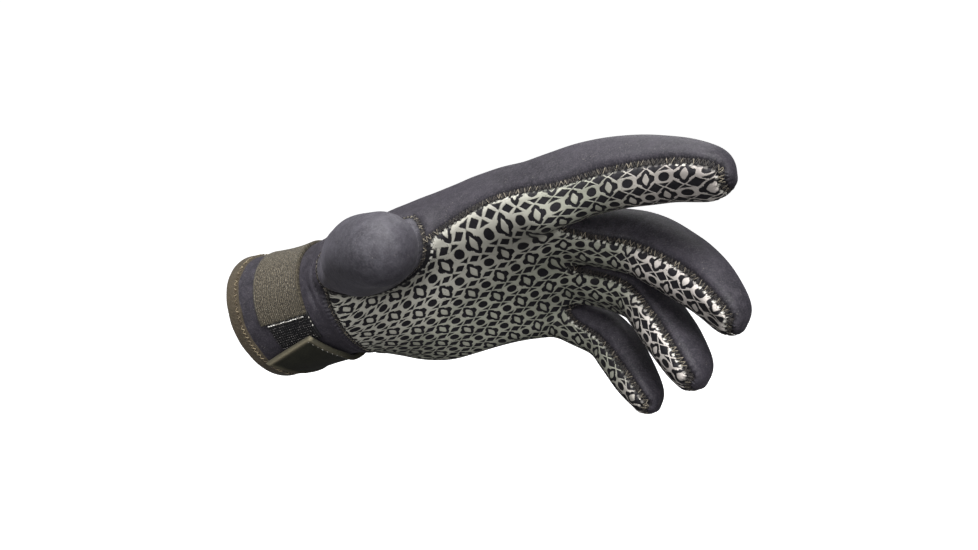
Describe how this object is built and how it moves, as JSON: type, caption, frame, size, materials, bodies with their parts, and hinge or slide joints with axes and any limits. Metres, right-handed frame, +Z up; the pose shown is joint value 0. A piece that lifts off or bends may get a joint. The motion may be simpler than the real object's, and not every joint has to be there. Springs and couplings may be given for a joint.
{
  "type": "paddling glove",
  "caption": "Left full-finger neoprene paddling glove, filled as worn, with a printed grip palm, curved fingers, bound cuff and a woven hook-and-loop wrist strap.",
  "frame": {"origin": "middle of the wrist opening, in the plane of the hem", "axes": "+X along the glove from the hem towards the fingertips, +Z up, -Y towards the viewer, with the palm turned to -Y and down"},
  "size_m": [0.2275, 0.1693, 0.1343],
  "materials": {
    "neoprene": "matt knitted face over foam rubber",
    "grip_print": "grey-green grip print with a near-black geometric lattice",
    "binding": "olive-brown knitted binding",
    "webbing": "olive-brown woven elastic",
    "hook_tape": "black hook tape"
  },
  "bodies": {
    "root": {"cuff_sleeve": "neoprene", "hem_binding": "binding", "back_panel": "neoprene", "palm_panel": "grip_print", "thumb_panel": "neoprene", "wrist_strap": "webbing", "hook_patch": "hook_tape", "strap_tab": "webbing"}
  },
  "joints": []
}
